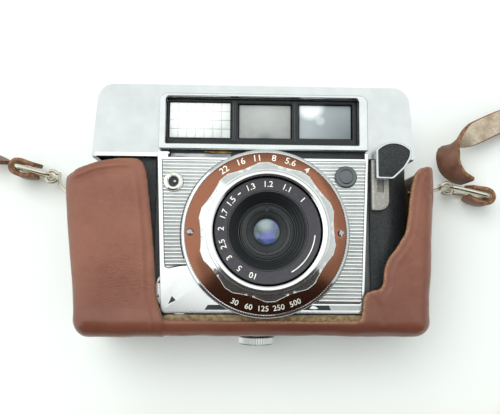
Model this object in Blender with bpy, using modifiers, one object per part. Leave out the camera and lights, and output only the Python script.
"""A 35 mm viewfinder camera lying on its back in the lower half of its leather case.

Frame: +Z runs along the lens, away from the table; +Y towards the camera's top;
+X to the right as one looks into the lens. The table is z = 0. Every size below is
in millimetres and becomes metres where an object is made.
"""
import math

import bmesh
import bpy
from mathutils import Matrix, Vector

MM = 0.001
GAP = 0.3                      # air kept between pieces that touch

# Camera body
BODY_X = -1.1                  # middle of the body, left to right
CAST_HALF = 60.2               # half width of the die casting
CAST_BACK, CAST_FRONT = 6.0, 35.0
CAST_BASE, CAST_TOP = -42.6, 20.2
END_RADIUS = 11.0              # round front corners of the body
SKIN = 0.8                     # leatherette
BASE_PLATE = 2.4
DOOR_BACK, DOOR_FRONT = 2.6, 5.6
FILM_AXIS_Z = 18.0             # height of the spool and cassette axes
CASSETTE_X, SPOOL_X, SPROCKET_X, SPROCKET_Z = -44.0, 45.0, 29.5, 12.5
SPOOLS_Y = -10.0               # middle of the film, along its axes

# Top cover
COVER_BASE, COVER_TOP = 20.5, 48.5
COVER_BACK, COVER_FRONT = 4.6, 38.0
COVER_HALF_BASE, COVER_HALF_TOP = 61.7, 59.6
COVER_WALL = 1.2

# Finder and meter windows: (low x, low y, high x, high y)
FRAME_OUTLINE = (-37.3, 22.8, 42.1, 44.6)
FRAME_OPENING = (-34.9, 25.0, 38.7, 43.3)
FRAME_FRONT = 41.0
METER_OPENING = (-34.0, 27.7, -10.1, 42.0)
BRIGHT_OPENING = (-7.4, 27.9, 13.3, 41.7)
FINDER_OPENING = (15.9, 28.0, 36.8, 41.9)
EYEPIECE = (26.0, 35.0, 5.6)   # x, y, radius

# Front plate and what sits on it
PLATE_LEFT_TOP, PLATE_RIGHT_TOP = -37.8, 42.5
PLATE_LEFT_BASE, PLATE_RIGHT_BASE = -35.5, 40.0
PLATE_BASE, PLATE_TOP = -38.3, 22.4
PLATE_BACK, PLATE_FRONT = 38.3, 39.5
SLOT_BASE = 20.0
RIB_PANEL_TOP, RIB_PANEL_BASE, RIB_CORNER_BASE = 18.8, -34.2, -20.5
RIB_FRONT = 40.5
SOCKET = (-31.4, 10.6, 3.6)    # x, y, radius
BADGE = (33.4, 12.9, 4.2)
DIAL = (-28.5, -29.6, 9.4)

# Lens, all about one axis
LENS_X, LENS_Y = 3.0, -8.6
RIM_RADIUS, RIM_FRONT = 31.1, 44.6
TRIM_OUTER, TRIM_INNER, TRIM_FRONT = 29.7, 26.6, 46.0
FOCUS_PEAK, FOCUS_VALLEY, FOCUS_BORE = 26.1, 25.0, 19.0
FOCUS_LOBES, FOCUS_BACK, FOCUS_FRONT = 10, 44.0, 57.4
CELL_RADIUS, CELL_MOUTH, CELL_BORE = 18.6, 13.8, 8.3
NAME_FRONT = 57.4
HOUSING_RADIUS = 23.0
BLADE_PIN_RADIUS = 13.0
SCREW_OFFSET = 27.6            # trim screws, left and right of the axis

# Shutter release key at the front
KEY_FRONT = 44.0
KEY_TRAVEL = 6.0

# Film advance, rewind and counter
WHEEL_X, WHEEL_Z, WHEEL_RADIUS = 42.0, 15.6, 12.5
KNOB_RADIUS = 7.6
BUTTON_X, BUTTON_Z = -26.4, 25.0
COUNTER_X, COUNTER_Z = 19.0, 27.0
TOP_PARTS_Y = 46.0             # where the axes of the wheel, knob, button and counter are marked

# Leather case, open at the top and in front of the lens
CASE_LEFT, CASE_RIGHT = -72.0, 68.0
CASE_BASE, CASE_FRONT = -48.0, 42.2
CASE_WALL = 2.2
CASE_TOP_LEFT, CASE_TOP_RIGHT = 11.0, 17.4
CASE_SCREW_X, CASE_SCREW_Z = 0.8, 20.0
TRIPOD_RADIUS = 3.175          # quarter inch thread, as a plain bore

# Strap and its rings
STRAP_WIDTH, STRAP_THICK = 10.0, 1.8
RING_WIRE, RING_HEIGHT, RING_CORNER = 1.0, 14.6, 1.8
LEFT_EYE, RIGHT_EYE = (-86.5, 16.7), (84.0, 13.4)
LEFT_RING_END, RIGHT_RING_END = (-100.0, 20.3), (99.99, 9.7)
RING_Z = 8.0
EYE_RADIUS, LUG_WIRE = 2.5, 0.8
LEFT_LUG_START = (CASE_LEFT, 6.5, 14.0)      # where each lug's wire comes through the hide
RIGHT_LUG_START = (CASE_RIGHT, 10.5, 14.0)


# ---------------------------------------------------------------- workshop

def clear_scene():
    for obj in list(bpy.data.objects):
        bpy.data.objects.remove(obj, do_unlink=True)


def collection(name):
    group = bpy.data.collections.new(name)
    bpy.context.scene.collection.children.link(group)
    return group


clear_scene()
PARTS = collection("viewfinder camera in case")
CUTTERS = collection("cutters")


def material(name, colour, roughness, metallic=0.0, alpha=1.0):
    made = bpy.data.materials.new(name)
    made.use_nodes = True
    shader = made.node_tree.nodes["Principled BSDF"]
    shader.inputs["Base Color"].default_value = (*colour, 1.0)
    shader.inputs["Roughness"].default_value = roughness
    shader.inputs["Metallic"].default_value = metallic
    shader.inputs["Alpha"].default_value = alpha
    return made


SATIN = material("satin chrome", (0.80, 0.81, 0.80), 0.30, 1.0)
CHROME = material("bright chrome", (0.86, 0.87, 0.86), 0.10, 1.0)
COPPER = material("copper anodised", (0.48, 0.25, 0.17), 0.32, 1.0)
NICKEL = material("nickelled wire", (0.70, 0.67, 0.56), 0.25, 1.0)
BRASS = material("brass", (0.62, 0.52, 0.28), 0.30, 1.0)
STEEL = material("steel", (0.56, 0.57, 0.58), 0.35, 1.0)
CASTING = material("cast alloy", (0.22, 0.22, 0.23), 0.60, 1.0)
BLACK = material("black enamel", (0.015, 0.016, 0.018), 0.40)
SKIN_BLACK = material("black leatherette", (0.025, 0.027, 0.030), 0.55)
LEATHER = material("brown leather", (0.26, 0.11, 0.075), 0.42)
STRAP_HIDE = material("strap leather", (0.22, 0.10, 0.06), 0.50)
GREY = material("grey enamel", (0.30, 0.29, 0.27), 0.45)
GLASS = material("optical glass", (0.75, 0.82, 0.86), 0.05, 0.0, 0.35)
FROSTED = material("frosted glass", (0.55, 0.58, 0.58), 0.50, 0.0, 0.8)
LENSLET = material("lenslet glass", (0.88, 0.90, 0.89), 0.25, 0.0, 0.8)
CELL_METAL = material("meter cell", (0.20, 0.15, 0.10), 0.40, 0.4)


def empty(name, point):
    """A joint's axis point, that its pieces are parented to."""
    axis = bpy.data.objects.new(name, None)
    axis.empty_display_size = 0.01
    axis.location = Vector(point) * MM
    PARTS.objects.link(axis)
    return axis


def adopt(obj, parent):
    """Parent a piece and leave it where it stands."""
    if parent is not None:
        obj.parent = parent
        obj.matrix_parent_inverse = Matrix.Translation(parent.location).inverted()
    return obj


def add(name, mesh, finish, parent=None, group=None):
    obj = bpy.data.objects.new(name, mesh)
    (group or PARTS).objects.link(obj)
    if finish is not None:
        mesh.materials.append(finish)
    if mesh.polygons:
        mesh.shade_smooth()
        mesh.set_sharp_from_angle(angle=math.radians(35))
    return adopt(obj, parent)


def turn_to(axis):
    """The rotation that lays a piece made about Z along another axis."""
    return {"X": (math.pi / 2, 0.0, math.pi / 2), "Y": (math.pi / 2, 0.0, 0.0), "Z": (0.0, 0.0, 0.0)}[axis]


def box(name, low, high, finish=None, parent=None, group=None, bevel=0.0, steps=2):
    low, high = Vector(low) * MM, Vector(high) * MM
    form = bmesh.new()
    bmesh.ops.create_cube(form, size=1.0, matrix=Matrix.Diagonal((*(high - low), 1.0)))
    mesh = bpy.data.meshes.new(name)
    form.to_mesh(mesh)
    form.free()
    obj = add(name, mesh, finish, parent, group)
    obj.location = (low + high) / 2
    if bevel:
        soften(obj, bevel, steps)
    return obj


def soften(obj, width, steps=2):
    edge = obj.modifiers.new("rounded edges", "BEVEL")
    edge.width = width * MM
    edge.segments = steps
    edge.limit_method = "ANGLE"
    edge.angle_limit = math.radians(50)


def cylinder(name, centre, radius, length, axis="Z", finish=None, parent=None, group=None, sides=24):
    form = bmesh.new()
    bmesh.ops.create_cone(form, cap_ends=True, segments=sides, radius1=radius * MM,
                          radius2=radius * MM, depth=length * MM)
    mesh = bpy.data.meshes.new(name)
    form.to_mesh(mesh)
    form.free()
    obj = add(name, mesh, finish, parent, group)
    obj.location = Vector(centre) * MM
    obj.rotation_euler = turn_to(axis)
    return obj


def turned(name, profile, centre, finish, parent=None, axis="Z", sides=32):
    """Turn a profile of (radius, height) pairs, which runs down its outer side.

    A profile that starts and ends on the axis makes a solid, any other a ring.
    """
    mesh = bpy.data.meshes.new(name)
    points = [(radius * MM, 0.0, height * MM) for radius, height in profile]
    edges = [(i, i + 1) for i in range(len(points) - 1)]
    if profile[0][0] > 0.0:
        edges.append((len(points) - 1, 0))
    mesh.from_pydata(points, edges, [])
    obj = add(name, mesh, finish, parent)
    obj.location = Vector(centre) * MM
    obj.rotation_euler = turn_to(axis)
    lathe = obj.modifiers.new("turned", "SCREW")
    lathe.axis = "Z"
    lathe.angle = 2 * math.pi
    lathe.steps = lathe.render_steps = sides
    lathe.use_merge_vertices = True
    lathe.merge_threshold = 0.00002
    lathe.use_smooth_shade = False
    return obj


def to_mesh(curve_object, finish, parent, group):
    """Turn a curve object into a welded mesh object of the same name and place."""
    bpy.context.view_layer.update()
    name, place = curve_object.name, curve_object.matrix_world.copy()
    evaluated = curve_object.evaluated_get(bpy.context.evaluated_depsgraph_get())
    mesh = bpy.data.meshes.new_from_object(evaluated)
    bpy.data.objects.remove(curve_object, do_unlink=True)
    form = bmesh.new()
    form.from_mesh(mesh)
    bmesh.ops.remove_doubles(form, verts=form.verts, dist=0.000002)
    bmesh.ops.recalc_face_normals(form, faces=form.faces)
    form.to_mesh(mesh)
    form.free()
    obj = add(name, mesh, finish, parent, group)
    obj.matrix_world = place
    return obj


def slab(name, outlines, low, high, finish=None, parent=None, group=None, axis="Z"):
    """Extrude flat outlines (the first is the edge, the others are holes) between two levels.

    The outline is in (x, y) for axis Z, in (x, z) for axis Y and in (y, z) for axis X.
    """
    curve = bpy.data.curves.new(name, "CURVE")
    curve.dimensions = "2D"
    curve.fill_mode = "BOTH"
    curve.extrude = (high - low) / 2 * MM
    for outline in outlines:
        spline = curve.splines.new("POLY")
        spline.points.add(len(outline) - 1)
        for point, (across, along) in zip(spline.points, outline):
            point.co = (across * MM, along * MM, 0.0, 1.0)
        spline.use_cyclic_u = True
    flat = bpy.data.objects.new(name, curve)
    (group or PARTS).objects.link(flat)
    middle = (low + high) / 2 * MM
    flat.location = {"X": (middle, 0, 0), "Y": (0, middle, 0), "Z": (0, 0, middle)}[axis]
    flat.rotation_euler = turn_to(axis)
    return to_mesh(flat, finish, parent, group)


def cut(obj, *cutters):
    for cutter in cutters:
        cutter.hide_render = True
        cutter.display_type = "WIRE"
        hole = obj.modifiers.new("cut by " + cutter.name, "BOOLEAN")
        hole.operation = "DIFFERENCE"
        hole.object = cutter
    return obj


def cut_box(name, low, high, bevel=0.0):
    return box(name, low, high, group=CUTTERS, bevel=bevel)


def cut_round(name, centre, radius, length, axis="Z", sides=24):
    return cylinder(name, centre, radius, length, axis, group=CUTTERS, sides=sides)


def cut_slab(name, outline, low, high, axis="Z"):
    return slab(name, [outline], low, high, group=CUTTERS, axis=axis)


def arc(centre_x, centre_y, radius, start, end, steps):
    """Points of an arc, angles in degrees, both ends included."""
    angles = [math.radians(start + (end - start) * i / steps) for i in range(steps + 1)]
    return [(centre_x + radius * math.cos(a), centre_y + radius * math.sin(a)) for a in angles]


def circle(x, y, radius, sides=24):
    return arc(x, y, radius, 0.0, 360.0 * (sides - 1) / sides, sides - 1)


def rectangle(window, grow=0.0):
    low_x, low_y, high_x, high_y = window
    return [(low_x - grow, low_y - grow), (high_x + grow, low_y - grow),
            (high_x + grow, high_y + grow), (low_x - grow, high_y + grow)]


def filleted(corners, radii, steps=4):
    """An outline whose corners are rounded by tangent arcs; corners run anticlockwise or clockwise."""
    outline = []
    count = len(corners)
    for i, radius in enumerate(radii):
        corner = Vector(corners[i])
        before = (Vector(corners[i - 1]) - corner).normalized()
        after = (Vector(corners[(i + 1) % count]) - corner).normalized()
        if radius <= 0.0:
            outline.append(tuple(corner))
            continue
        half = before.angle(after) / 2
        reach = radius / math.tan(half)
        centre = corner + (before + after).normalized() * (radius / math.sin(half))
        start, end = corner + before * reach - centre, corner + after * reach - centre
        first = math.atan2(start.y, start.x)
        sweep = (math.atan2(end.y, end.x) - first + math.pi) % (2 * math.pi) - math.pi
        for step in range(steps + 1):
            angle = first + sweep * step / steps
            outline.append((centre.x + radius * math.cos(angle), centre.y + radius * math.sin(angle)))
    return outline


def wire(name, route, radius, finish, parent=None, closed=False, sides=2):
    """A round wire along a list of points."""
    curve = bpy.data.curves.new(name, "CURVE")
    curve.dimensions = "3D"
    curve.bevel_depth = radius * MM
    curve.bevel_resolution = sides
    curve.use_fill_caps = True
    spline = curve.splines.new("POLY")
    spline.points.add(len(route) - 1)
    for point, place in zip(spline.points, route):
        point.co = (*(Vector(place) * MM), 1.0)
    spline.use_cyclic_u = closed
    obj = bpy.data.objects.new(name, curve)
    PARTS.objects.link(obj)
    curve.materials.append(finish)
    return adopt(obj, parent)


def smooth_route(knots, spacing):
    """Points at an even spacing along a smooth curve through the knots."""
    knots = [Vector(knot) for knot in knots]
    ends = [2 * knots[0] - knots[1]] + knots + [2 * knots[-1] - knots[-2]]
    dense = []
    for a, b, c, d in zip(ends, ends[1:], ends[2:], ends[3:]):
        for step in range(24):
            t = step / 24
            dense.append(0.5 * (2 * b + (c - a) * t + (2 * a - 5 * b + 4 * c - d) * t ** 2
                                + (3 * b - a - 3 * c + d) * t ** 3))
    dense.append(knots[-1])
    length = sum((q - p).length for p, q in zip(dense, dense[1:]))
    count = round(length / spacing)
    step, travelled, points = length / count, 0.0, [dense[0]]
    for p, q in zip(dense, dense[1:]):
        travelled += (q - p).length
        while travelled >= step * len(points) - 1e-6 and len(points) < count:
            back = travelled - step * len(points)
            points.append(q - (q - p).normalized() * back)
    points.append(dense[-1])
    return points


# ---------------------------------------------------------------- leather case

def case_edge():
    """What is cut away above the pockets and in front of the lens."""
    left_edge = [(-52.0, 15.6), (-41.1, 14.6), (-38.9, -11.5), (-38.6, -34.0), (-34.5, -40.9)]
    right_edge = [(38.6, -40.9), (41.0, -31.5), (46.7, -28.6), (47.9, -20.1), (52.2, -14.4),
                  (56.0, -1.0), (60.6, 13.1), (66.8, CASE_TOP_RIGHT)]
    above, beside = 80.0, 20.0
    return ([(CASE_LEFT - beside, CASE_TOP_LEFT - 4.0), (-70.8, CASE_TOP_LEFT)] + left_edge + right_edge
            + [(CASE_RIGHT + beside, CASE_TOP_RIGHT - 1.5), (CASE_RIGHT + beside, above),
               (CASE_LEFT - beside, above)])


def leather_case():
    """Front, sides and base are one moulded hide; the back is a flat panel sewn to it."""
    shell = box("case_shell", (CASE_LEFT, CASE_BASE, -20.0), (CASE_RIGHT, 40.0, CASE_FRONT),
                LEATHER, bevel=6.0, steps=3)
    hollow = cut_box("case hollow", (CASE_LEFT + CASE_WALL, CASE_BASE + CASE_WALL, -30.0),
                     (CASE_RIGHT - CASE_WALL, 60.0, CASE_FRONT - CASE_WALL), bevel=3.0)
    seam = CASE_WALL + GAP
    below = cut_box("case seam", (CASE_LEFT - 9.0, CASE_BASE - 9.0, -60.0), (CASE_RIGHT + 9.0, 90.0, seam))
    mouth = cut_slab("case mouth", case_edge(), -80.0, 90.0)
    screw_hole = cut_round("case screw hole", (CASE_SCREW_X, CASE_BASE, CASE_SCREW_Z), 3.2, 12.0, "Y")
    cut(shell, hollow, below, mouth, screw_hole)
    for side, start in (("left", LEFT_LUG_START), ("right", RIGHT_LUG_START)):
        hole = cut_round("lug hole " + side, start, LUG_WIRE + 2 * GAP, 12.0, "X", sides=12)
        cut(shell, hole)
    corners = [(CASE_LEFT, CASE_BASE), (CASE_RIGHT, CASE_BASE), (CASE_RIGHT, CASE_TOP_RIGHT - 1.0),
               (CASE_LEFT, CASE_TOP_LEFT - 1.0)]
    slab("case_back", [filleted(corners, (9.0, 9.0, 4.0, 4.0))], 0.0, CASE_WALL, LEATHER)
    dome = [(0.0, 1.8), (1.6, 1.5), (2.7, 0.6), (2.9, 0.0), (0.0, 0.0)]
    stud = turned("case_stud", dome, (CASE_LEFT - GAP, 0.5, 20.0), BRASS, sides=20)
    stud.rotation_euler = (0.0, -math.pi / 2, 0.0)


def case_screw():
    """The knurled screw that holds the camera by its tripod bush."""
    axis = empty("case_screw_axis", (CASE_SCREW_X, CASE_BASE, CASE_SCREW_Z))
    head_base, head_top = -51.6, CASE_BASE - GAP
    shaft = TRIPOD_RADIUS - 2 * GAP
    profile = [(0.0, -head_base), (6.4, -head_base), (7.1, -head_base - 0.6), (7.1, -head_top + 0.5),
               (6.6, -head_top), (shaft, -head_top), (shaft, 39.5), (0.0, 39.0)]
    turned("case_screw", profile, (CASE_SCREW_X, 0.0, CASE_SCREW_Z), SATIN, axis, "Y", sides=28)


# ---------------------------------------------------------------- strap and rings

def lug(side, sign, start, eye):
    """A wire that comes through the hide and ends in an eye round the ring's inner bar."""
    start_x, start_y, start_z = start
    near = sign * (EYE_RADIUS + 2.6)
    route = [(start_x - sign * (CASE_WALL + 1.0), start_y, start_z), (start_x + sign * 1.5, start_y, start_z),
             (eye[0] - near, (start_y + eye[1]) / 2 + 0.6, (start_z + RING_Z) / 2),
             (eye[0] - sign * (EYE_RADIUS + 0.9), eye[1] + 1.2, RING_Z)]
    first = 150.0 if sign > 0 else 30.0
    loop = arc(eye[0], eye[1], EYE_RADIUS, first, first - sign * 300.0, 14)
    wire(side + "_lug", route + [(x, y, RING_Z) for x, y in loop], LUG_WIRE, NICKEL)


def strap_ring(side, eye, end, parent):
    """An oval wire ring that stands on edge, its inner bar in the lug's eye."""
    along = (Vector(end) - Vector(eye)).normalized()
    length = (Vector(end) - Vector(eye)).length
    half = RING_HEIGHT / 2 - RING_WIRE
    corners = [(0.0, -half), (length, -half), (length, half), (0.0, half)]
    outline = filleted(corners, (RING_CORNER,) * 4, 3)
    route = [(eye[0] + along.x * reach, eye[1] + along.y * reach, RING_Z + height) for reach, height in outline]
    wire(side + "_ring", route, RING_WIRE, NICKEL, parent, closed=True)
    bend_centre = Vector(eye) + along * length
    across = Vector((-along.y, along.x))
    outer, inner, reach_in = 3.4, 1.8, 4.0
    band = []
    for radius in (outer, inner):
        local = (arc(0.0, 0.0, radius, -90.0, 90.0, 8) + arc(-reach_in, 0.0, radius * 0.85, 90.0, 270.0, 8))
        band.append([tuple(bend_centre + along * u + across * v) for u, v in local])
    low = RING_Z - STRAP_WIDTH / 2 + 0.2
    slab("strap_loop_" + side, band, low, low + STRAP_WIDTH - 0.4, STRAP_HIDE, parent)


def strap_knots():
    """The routes of the two halves of the strap, from their ring to the buckle."""
    edge = STRAP_WIDTH / 2 + 0.4
    right = [(92.8, 16.6, 9.0), (88.0, 18.6, 10.0), (84.2, 22.6, 11.5), (83.4, 28.4, 12.5), (87.4, 33.4, 12.0),
             (96.0, 37.6, 10.0), (106.0, 42.4, 8.0), (116.0, 46.4, 6.5), (125.5, 44.6, edge),
             (131.0, 36.0, edge), (133.0, 20.0, edge), (133.0, -10.0, edge), (131.5, -45.0, edge),
             (127.5, -66.0, edge), (117.0, -82.5, edge), (98.0, -88.5, edge), (60.0, -89.5, edge),
             (10.0, -89.5, edge), (-40.0, -89.5, edge), (-76.0, -90.0, edge), (-92.0, -94.5, edge),
             (-99.0, -105.0, edge), (-95.0, -116.5, edge), (-82.0, -122.5, edge), (-60.0, -123.5, edge),
             (0.0, -123.5, edge), (48.0, -123.5, edge)]
    left = [(-106.6, 22.4, 8.0), (-112.0, 25.0, 7.0), (-118.5, 25.6, 6.0), (-124.6, 21.5, edge),
            (-127.4, 12.0, edge), (-128.6, -10.0, edge), (-129.0, -40.0, edge), (-127.5, -70.0, edge),
            (-120.0, -96.0, edge), (-108.0, -115.0, edge), (-92.0, -125.0, edge), (-74.0, -128.2, edge),
            (-40.0, -128.5, edge), (0.0, -128.5, edge), (48.0, -128.5, edge)]
    return left, right


def strap():
    """A flat strap in two halves; what is spare lies folded below the case."""
    left, right = strap_knots()
    for side, knots in (("left", left), ("right", right)):
        route = smooth_route(knots, 1.1 * STRAP_WIDTH)
        wire("strap_" + side, route, STRAP_THICK * 0.9, STRAP_HIDE, sides=2)
    end_x, low_y, high_y = 48.0 + GAP, -131.0, -121.0
    box("strap_buckle", (end_x, low_y, 0.4), (end_x + 9.0, high_y, 10.4), NICKEL, bevel=1.0)


# ---------------------------------------------------------------- camera body

def body_outline(half, back, front, round_front, round_back):
    corners = [(BODY_X - half, back), (BODY_X + half, back), (BODY_X + half, front), (BODY_X - half, front)]
    return filleted(corners, (round_back, round_back, round_front, round_front), 5)


def body_casting():
    outline = body_outline(CAST_HALF, CAST_BACK, CAST_FRONT, END_RADIUS, 4.0)
    body = slab("body_casting", [outline], CAST_BASE, CAST_TOP, CASTING, axis="Y")
    room_base, room_top = -37.5, 18.0
    behind = CAST_BACK - 3.0
    gate_left, gate_right = -25.0, 23.0
    film_plane = 8.4
    cassette = cut_box("cassette room", (-58.5, room_base, behind), (gate_left - 4.0, room_top, 31.5))
    spool = cut_box("spool room", (gate_right + 0.8, room_base, behind), (55.5, room_top, 29.5))
    recess = cut_box("film track", (gate_left - 5.0, -26.5, behind), (gate_right + 2.0, 9.3, film_plane))
    gate = cut_box("film gate", (LENS_X - 18.0, LENS_Y - 12.0, behind), (LENS_X + 18.0, LENS_Y + 12.0, 26.0))
    throat = cut_round("shutter throat", (LENS_X, LENS_Y, 40.0), HOUSING_RADIUS + GAP, 32.0, sides=32)
    shaft = cut_round("rewind shaft hole", (CASSETTE_X, 20.0, FILM_AXIS_Z), 2.6, 16.0, "Y", sides=16)
    cut(body, cassette, spool, recess, gate, throat, shaft)
    bush = cut_round("bush seat", (CASE_SCREW_X, CAST_BASE, CASE_SCREW_Z), 6.0, 9.0, "Y")
    cut(body, bush)


def back_door():
    overlap = 0.8
    box("back_door", (BODY_X - CAST_HALF - overlap, CAST_BASE, DOOR_BACK),
        (BODY_X + CAST_HALF + overlap, CAST_TOP, DOOR_FRONT), SKIN_BLACK, bevel=1.0)
    plate_low, plate_high = (-24.0, -25.5, 6.3), (24.0, 8.3, 7.6)
    box("pressure_plate", plate_low, plate_high, BLACK, bevel=0.4)
    latch_x, latch_thick = BODY_X + CAST_HALF + 1.2, 1.4
    latch_low, latch_high = (latch_x, -6.0, 8.0), (latch_x + latch_thick, 4.0, 13.0)
    box("door_latch", latch_low, latch_high, CHROME, bevel=0.4)


def base_plate():
    outline = body_outline(CAST_HALF + 1.0, CAST_BACK - 0.2, CAST_FRONT + 1.0, END_RADIUS + 1.0, 4.0)
    hole = circle(CASE_SCREW_X, CASE_SCREW_Z, 5.3)
    top = CAST_BASE - GAP
    slab("base_plate", [outline, hole], top - BASE_PLATE, top, SATIN, axis="Y")
    bush = [(5.0, -CAST_BASE - 3.6), (5.0, -top + BASE_PLATE), (TRIPOD_RADIUS, -top + BASE_PLATE),
            (TRIPOD_RADIUS, -CAST_BASE - 3.6)]
    turned("tripod_bush", list(reversed(bush)), (CASE_SCREW_X, 0.0, CASE_SCREW_Z), STEEL, None, "Y", 24)


def leatherette():
    """Skins on the front, wrapped round both ends."""
    inner_half, radius = CAST_HALF + GAP, END_RADIUS + GAP
    front, back = CAST_FRONT + GAP, 8.5
    for side, sign, edge in (("left", -1, -38.4), ("right", 1, 43.3)):
        outline = []
        for thick, backwards in ((0.0, False), (SKIN, True)):
            centre_x = BODY_X + sign * (inner_half - radius)
            bend = arc(centre_x, front - radius, radius + thick, 90.0, 90.0 - sign * 90.0, 6)
            run = [(edge, front + thick)] + bend + [(BODY_X + sign * (inner_half + thick), back)]
            outline += reversed(run) if backwards else run
        slab("leatherette_" + side, [outline], CAST_BASE + 0.2, CAST_TOP - 0.2, SKIN_BLACK, axis="Y")


# ---------------------------------------------------------------- film transport

def upright(profile):
    """A profile of (radius, y) pairs as turned() takes it about Y, where a height of h lies at y = -h."""
    return [(radius, -y) for radius, y in profile]


def spool_profile(low, high, flange, hub):
    thick = 1.2
    return upright([(0.0, low), (flange, low), (flange, low + thick), (hub, low + thick), (hub, high - thick),
                    (flange, high - thick), (flange, high), (0.0, high)])


def transport():
    wheel_axis = empty("advance_axis", (WHEEL_X, TOP_PARTS_Y, WHEEL_Z))
    low, high, chamfer = 43.4, 46.4, 0.5
    wheel = [(0.0, low), (WHEEL_RADIUS - chamfer, low), (WHEEL_RADIUS, low + chamfer),
             (WHEEL_RADIUS, high - chamfer), (WHEEL_RADIUS - chamfer, high), (0.0, high)]
    turned("advance_wheel", upright(wheel), (WHEEL_X, 0.0, WHEEL_Z), SATIN, wheel_axis, "Y", 36)
    spool_axis = empty("spool_axis", (SPOOL_X, SPOOLS_Y, FILM_AXIS_Z))
    spool = spool_profile(-36.8, 16.5, 8.4, 4.8)
    turned("take_up_spool", spool, (SPOOL_X, 0.0, FILM_AXIS_Z), BLACK, spool_axis, "Y", 24)
    sprocket_axis = empty("sprocket_axis", (SPROCKET_X, SPOOLS_Y, SPROCKET_Z))
    wheels = spool_profile(-27.2, 10.0, 5.0, 3.6)
    turned("sprocket", wheels, (SPROCKET_X, 0.0, SPROCKET_Z), STEEL, sprocket_axis, "Y", 16)
    counter_axis = empty("counter_axis", (COUNTER_X, TOP_PARTS_Y, COUNTER_Z))
    low, high, radius = 45.4, 46.4, 5.6
    disc = [(0.0, low), (radius, low), (radius, high), (0.0, high)]
    turned("frame_counter", upright(disc), (COUNTER_X, 0.0, COUNTER_Z), BLACK, counter_axis, "Y", 24)
    rewind_axis = empty("rewind_axis", (CASSETTE_X, TOP_PARTS_Y, FILM_AXIS_Z))
    high, low, fork, shaft, chamfer = 48.2, 43.6, 9.0, 1.9, 0.5
    knob = [(0.0, fork), (shaft, fork), (shaft, low), (KNOB_RADIUS - chamfer, low), (KNOB_RADIUS, low + chamfer),
            (KNOB_RADIUS, high - chamfer), (KNOB_RADIUS - chamfer, high), (0.0, high)]
    turned("rewind_knob", upright(knob), (CASSETTE_X, 0.0, FILM_AXIS_Z), SATIN, rewind_axis, "Y", 28)
    button_axis = empty("rewind_release_axis", (BUTTON_X, TOP_PARTS_Y, BUTTON_Z))
    low, high, radius = 43.0, 51.6, 1.8
    button = [(0.0, low), (radius, low), (radius, high - chamfer), (radius - chamfer, high), (0.0, high)]
    turned("rewind_release", upright(button), (BUTTON_X, 0.0, BUTTON_Z), SATIN, button_axis, "Y", 16)


# ---------------------------------------------------------------- top cover and windows

def top_cover():
    def outline(inset, base):
        corners = [(BODY_X - COVER_HALF_BASE + inset, base), (BODY_X + COVER_HALF_BASE - inset, base),
                   (BODY_X + COVER_HALF_TOP - inset, COVER_TOP - inset),
                   (BODY_X - COVER_HALF_TOP + inset, COVER_TOP - inset)]
        return filleted(corners, (0.0, 0.0, 5.0 - inset, 5.0 - inset), 4)
    cover = slab("top_cover", [outline(0.0, COVER_BASE)], COVER_BACK, COVER_FRONT, SATIN)
    soften(cover, 2.2, 3)
    hollow = cut_slab("cover hollow", outline(COVER_WALL, COVER_BASE - 6.0), COVER_BACK + COVER_WALL,
                      COVER_FRONT - COVER_WALL)
    low_x, low_y, high_x, high_y = FRAME_OPENING
    window = cut_box("cover window", (low_x, low_y, 30.0), (high_x, high_y, 44.0))
    eye_x, eye_y, eye_radius = EYEPIECE
    eyepiece = cut_round("eyepiece hole", (eye_x, eye_y, COVER_BACK), eye_radius + GAP, 8.0)
    slot = cut_box("wheel slot", (WHEEL_X - 9.0, 42.9, 0.0), (WHEEL_X + 9.0, 46.9, 9.0))
    knob = cut_round("knob hole", (CASSETTE_X, COVER_TOP, FILM_AXIS_Z), KNOB_RADIUS + 0.4, 8.0, "Y", 28)
    button = cut_round("button hole", (BUTTON_X, COVER_TOP, BUTTON_Z), 2.2, 8.0, "Y", 16)
    counter = cut_round("counter hole", (COUNTER_X, COVER_TOP, COUNTER_Z + 3.5), 1.8, 8.0, "Y", 16)
    cut(cover, hollow, window, eyepiece, slot, knob, button, counter)


def windows():
    corners = rectangle(FRAME_OUTLINE)
    slab("window_frame", [filleted(corners, (0.8, 0.8, 3.0, 3.0)), rectangle(FRAME_OPENING)],
         COVER_FRONT + GAP, FRAME_FRONT, CHROME)
    openings = (METER_OPENING, BRIGHT_OPENING, FINDER_OPENING)
    mask_back, mask_front = 34.4, 37.6
    slab("window_mask", [rectangle(FRAME_OPENING, -GAP)] + [rectangle(window) for window in openings],
         mask_back, mask_front, BLACK)
    panes = (("meter_window", METER_OPENING, 36.0, 37.4, LENSLET),
             ("bright_frame_window", BRIGHT_OPENING, 35.0, 36.2, FROSTED),
             ("finder_window", FINDER_OPENING, 34.8, 36.2, GLASS))
    for name, window, back, front, finish in panes:
        slab(name, [rectangle(window, -GAP)], back, front, finish)
    low_x, low_y, high_x, high_y = METER_OPENING
    inset, cell_back, cell_front = 1.0, 31.0, 32.4
    box("meter_cell", (low_x + inset, low_y + inset, cell_back), (high_x - inset, high_y - inset, cell_front),
        CELL_METAL)
    movement_radius, movement_length = 6.4, 12.0
    cylinder("meter_movement", ((low_x + high_x) / 2, 34.5, 21.0), movement_radius, movement_length, "Z", STEEL,
             sides=20)
    tube_wall, tube_back, tube_front = 1.2, 9.6, 34.0
    outer = rectangle(FINDER_OPENING, tube_wall / 2)
    inner = rectangle(FINDER_OPENING, -tube_wall / 2)
    slab("finder_tube", [outer, inner], tube_back, tube_front, BLACK)
    eye_x, eye_y, eye_radius = EYEPIECE
    lens = [(0.0, 8.8), (eye_radius, 8.2), (eye_radius, 4.2), (0.0, 3.9)]
    turned("eyepiece_lens", lens, (eye_x, eye_y, 0.0), GLASS, sides=24)


# ---------------------------------------------------------------- front plate

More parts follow.
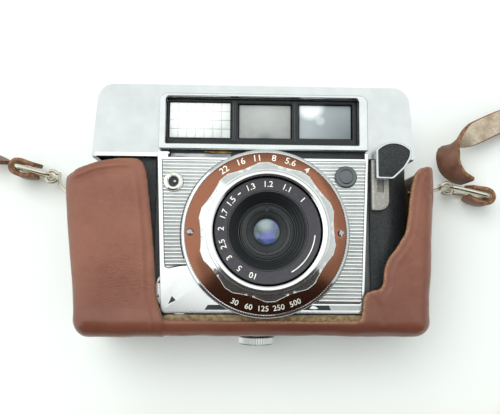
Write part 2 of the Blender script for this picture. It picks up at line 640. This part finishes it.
def plate_corners(inset):
    return [(PLATE_LEFT_BASE + inset, PLATE_BASE + inset), (PLATE_RIGHT_BASE - inset, PLATE_BASE + inset),
            (PLATE_RIGHT_TOP - inset, PLATE_TOP - inset), (PLATE_LEFT_TOP + inset, PLATE_TOP - inset)]


def front_plate():
    outline = filleted(plate_corners(0.0), (2.0, 1.0, 0.6, 0.6))
    throat = circle(LENS_X, LENS_Y, HOUSING_RADIUS + 2 * GAP, 40)
    plate = slab("front_plate", [outline, throat], PLATE_BACK, PLATE_FRONT, SATIN)
    notch = cut_box("plate slot", (PLATE_LEFT_TOP + 3.0, SLOT_BASE, 30.0), (PLATE_RIGHT_TOP - 1.5, 30.0, 45.0))
    cut(plate, notch)
    rib_back, clearance = PLATE_FRONT + GAP, RIM_RADIUS + 2 * GAP
    left = [(-35.7, RIB_PANEL_TOP), (-33.9, RIB_CORNER_BASE)]
    reach = math.degrees(math.asin((RIB_CORNER_BASE - LENS_Y) / clearance))
    top_reach = math.degrees(math.asin((RIB_PANEL_TOP - LENS_Y) / clearance))
    bend = arc(LENS_X, LENS_Y, clearance, 180.0 - reach, 180.0 - top_reach, 12)
    socket_x, socket_y, socket_radius = SOCKET
    hole = circle(socket_x, socket_y, socket_radius + GAP, 20)
    slab("ribbed_panel_left", [left + bend, hole], rib_back, RIB_FRONT, SATIN)
    right_reach = math.degrees(math.asin((RIB_PANEL_BASE - LENS_Y) / clearance))
    bend = arc(LENS_X, LENS_Y, clearance, top_reach, right_reach, 16)
    right = [(38.8, RIB_PANEL_BASE), (40.9, RIB_PANEL_TOP)]
    slab("ribbed_panel_right", [bend + right], rib_back, RIB_FRONT, SATIN)
    ring = [(1.9, 41.4), (socket_radius - 0.3, 41.4), (socket_radius, 41.0), (socket_radius, rib_back),
            (1.9, rib_back)]
    turned("sync_socket", ring, (socket_x, socket_y, 0.0), BRASS, sides=20)
    badge_x, badge_y, badge_radius = BADGE
    front = RIB_FRONT + GAP
    medal = [(0.0, front + 0.9), (badge_radius - 0.6, front + 0.9), (badge_radius, front + 0.4),
             (badge_radius, front), (0.0, front)]
    turned("front_badge", medal, (badge_x, badge_y, 0.0), CHROME, sides=24)


def mode_dial():
    dial_x, dial_y, dial_radius = DIAL
    axis = empty("mode_dial_axis", (dial_x, dial_y, 37.0))
    front, back = PLATE_BACK - GAP, 36.4
    disc = [(0.0, front), (dial_radius - 0.3, front), (dial_radius, front - 0.3), (dial_radius, back),
            (0.0, back)]
    turned("mode_dial", disc, (dial_x, dial_y, 0.0), SATIN, axis, sides=36)


def release():
    """The key at the front, its leather inlay and the plate that its stem slides in."""
    axis = empty("release_axis", (50.0, 16.0, KEY_FRONT))
    crest = arc(50.9, 13.0, 13.3, 62.0, 118.0, 8)
    outline = [(44.9, 12.2), (50.4, 12.2), (57.0, 20.6)] + crest[:-1] + [(44.9, 23.6)]
    key_back = KEY_FRONT - 3.6
    key = slab("release_key", [outline], key_back, KEY_FRONT, CHROME, axis)
    middle = Vector((50.4, 19.0))
    pocket_share, inlay_share = 0.84, 0.80

    def shrunk(share):
        return [tuple(middle + (Vector(point) - middle) * share) for point in outline]

    pocket = cut_slab("key pocket", shrunk(pocket_share), KEY_FRONT - 0.9, KEY_FRONT + 3.0)
    cut(key, pocket)
    slab("key_leather", [shrunk(inlay_share)], KEY_FRONT - 0.6, KEY_FRONT - 0.1, SKIN_BLACK, axis)
    slot_low, slot_high = 45.9, 48.5
    stem_base, stem_top = 14.4, 18.4
    side_play, end_play = 0.4, 0.8
    box("key_stem", (slot_low + side_play, stem_base, 32.0), (slot_high - side_play, stem_top, key_back - GAP),
        STEEL, axis)
    corners = rectangle((43.7, 0.8, 50.4, 20.2))
    guide_slot = rectangle((slot_low, stem_base - KEY_TRAVEL - end_play, slot_high, stem_top + end_play))
    slab("release_guide", [filleted(corners, (0.0, 3.6, 0.0, 0.0)), guide_slot], 36.6, 38.4, GREY)
    well_low = (slot_low - GAP, stem_base - KEY_TRAVEL - end_play - GAP, 31.0)
    well_high = (slot_high + GAP, stem_top + end_play + GAP, 40.0)
    for name in ("body_casting", "leatherette_right"):
        cut(bpy.data.objects[name], cut_box("key well in " + name, well_low, well_high))


# ---------------------------------------------------------------- lens and shutter

def about_lens(name, profile, finish, parent=None, sides=48):
    return turned(name, profile, (LENS_X, LENS_Y, 0.0), finish, parent, "Z", sides)


def lens_mount():
    back, front = PLATE_FRONT + GAP, PLATE_FRONT - 0.5
    housing = [(HOUSING_RADIUS, front), (HOUSING_RADIUS, 24.4), (CELL_BORE, 24.4), (CELL_BORE, 26.4),
               (17.5, 26.4), (17.5, front)]
    about_lens("shutter_housing", housing, BLACK)
    step = TRIM_OUTER + GAP
    rim = [(step, RIM_FRONT), (RIM_RADIUS - 0.4, RIM_FRONT), (RIM_RADIUS, RIM_FRONT - 0.5),
           (RIM_RADIUS, back), (HOUSING_RADIUS + 0.8, back), (HOUSING_RADIUS + 0.8, 43.2), (step, 43.2)]
    about_lens("lens_rim", rim, CHROME)
    trim = [(TRIM_INNER, TRIM_FRONT), (TRIM_OUTER - 0.3, TRIM_FRONT), (TRIM_OUTER, TRIM_FRONT - 0.3),
            (TRIM_OUTER, 43.5), (TRIM_INNER, 43.5)]
    about_lens("trim_ring", trim, COPPER)
    for side, sign in (("left", -1), ("right", 1)):
        head = [(0.0, TRIM_FRONT + 0.9), (0.8, TRIM_FRONT + 0.8), (1.2, TRIM_FRONT + GAP),
                (0.0, TRIM_FRONT + GAP)]
        turned("trim_screw_" + side, head, (LENS_X + sign * SCREW_OFFSET, LENS_Y, 0.0), STEEL, sides=12)
    rear = [(0.0, 23.0), (4.0, 23.2), (7.8, 24.0), (7.8, 26.0), (0.0, 26.4)]
    about_lens("rear_lens", list(reversed(rear)), GLASS, sides=24)


def shutter_blades():
    """Three thin blades on pins round the axis, one above the other."""
    for number in range(3):
        angle = math.radians(90.0 + 120.0 * number)
        pin = Vector((LENS_X + BLADE_PIN_RADIUS * math.cos(angle), LENS_Y + BLADE_PIN_RADIUS * math.sin(angle)))
        inward = Vector((-math.cos(angle), -math.sin(angle)))
        sideways = Vector((-inward.y, inward.x))
        local = (arc(0.0, 0.0, 2.2, 110.0, 250.0, 5)
                 + [(7.0, -4.2)] + arc(13.0, 0.0, 5.6, -80.0, 80.0, 7) + [(7.0, 4.2)])
        outline = [tuple(pin + inward * u * 0.92 + sideways * v) for u, v in local]
        level = 29.0 + 0.8 * number
        axis = empty("blade_axis_" + str(number + 1), (pin.x, pin.y, level))
        slab("shutter_blade_" + str(number + 1), [outline], level, level + 0.3, STEEL, axis)


def scalloped(steps_per_lobe=6):
    """The grip's outline: shallow hollows between its peaks."""
    count = FOCUS_LOBES * steps_per_lobe
    outline = []
    for i in range(count):
        angle = 2 * math.pi * i / count + math.pi / 2
        within = abs((i % steps_per_lobe) / steps_per_lobe - 0.5) * 2
        radius = FOCUS_VALLEY + (FOCUS_PEAK - FOCUS_VALLEY) * within ** 2
        outline.append((LENS_X + radius * math.cos(angle), LENS_Y + radius * math.sin(angle)))
    return outline


def front_group():
    """The grip and the front cell, which turn together to focus."""
    focus_axis = empty("focus_axis", (LENS_X, LENS_Y, FOCUS_BACK))
    bore = circle(LENS_X, LENS_Y, FOCUS_BORE, 48)
    slab("focus_ring", [scalloped(), bore], FOCUS_BACK, FOCUS_FRONT, CHROME, focus_axis)
    face, cone, seat = 56.4, 51.0, 41.0
    cell = [(CELL_MOUTH, face), (CELL_RADIUS, face), (CELL_RADIUS, seat), (CELL_BORE, seat),
            (CELL_BORE, cone), (CELL_BORE + 1.2, cone)]
    about_lens("front_cell", cell, BLACK, focus_axis, sides=40)
    ring_inner = CELL_MOUTH + 0.3
    name = [(ring_inner, NAME_FRONT), (CELL_RADIUS - 0.2, NAME_FRONT), (CELL_RADIUS - 0.2, face + GAP),
            (ring_inner, face + GAP)]
    about_lens("name_ring", name, BLACK, focus_axis, sides=40)
    glass = [(0.0, 50.2), (3.0, 50.0), (5.6, 49.4), (7.9, 48.2), (7.9, 44.6), (4.0, 44.0), (0.0, 43.8)]
    about_lens("front_lens", glass, GLASS, focus_axis, sides=24)


# ---------------------------------------------------------------- assembly

def build():
    leather_case()
    case_screw()
    ends = (("left", -1, LEFT_LUG_START, LEFT_EYE, LEFT_RING_END),
            ("right", 1, RIGHT_LUG_START, RIGHT_EYE, RIGHT_RING_END))
    for side, sign, start, eye, end in ends:
        lug(side, sign, start, eye)
        strap_ring(side, eye, end, empty(side + "_ring_axis", (*eye, RING_Z)))
    strap()
    body_casting()
    back_door()
    base_plate()
    leatherette()
    transport()
    top_cover()
    windows()
    front_plate()
    mode_dial()
    release()
    lens_mount()
    shutter_blades()
    front_group()


build()
